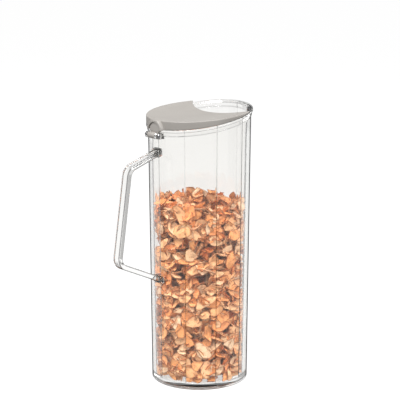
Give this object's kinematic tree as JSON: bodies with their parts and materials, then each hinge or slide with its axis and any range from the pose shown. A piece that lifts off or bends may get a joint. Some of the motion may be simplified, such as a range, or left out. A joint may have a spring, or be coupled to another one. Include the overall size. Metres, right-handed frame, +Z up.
{
  "type": "cereal dispenser",
  "caption": "Tall clear jug with a slanted rim, a bent strip handle and a hinged wedge lid whose crescent cut leaves a pouring mouth.",
  "frame": {"origin": "centre of the base, on the surface the jug stands on", "axes": "+Z up along the jug's axis, +X towards the pouring side, -X towards the handle and hinge, +Y to the left of someone pouring"},
  "size_m": [0.152, 0.1036, 0.2741],
  "materials": {
    "clear_plastic": "clear polished styrene plastic",
    "taupe_plastic": "satin warm grey moulded plastic",
    "pale_plastic": "satin pale warm grey moulded plastic",
    "pin_steel": "polished steel"
  },
  "bodies": {
    "jug": {"body": "clear_plastic", "handle": "clear_plastic", "handle_socket_upper": "clear_plastic", "handle_socket_lower": "clear_plastic", "hinge_bracket": "clear_plastic", "hinge_pin": "pin_steel", "pin_cap_left": "pin_steel", "pin_cap_right": "pin_steel"},
    "lid": {"lid": "taupe_plastic", "hinge_leaf": "pale_plastic"}
  },
  "joints": [
    {"name": "lid_hinge", "type": "hinge", "parent": "jug", "child": "lid", "pos_m": [-0.0557, 0, 0.2505], "axis": [0, -1, 0], "range_deg": [0, 105]}
  ]
}
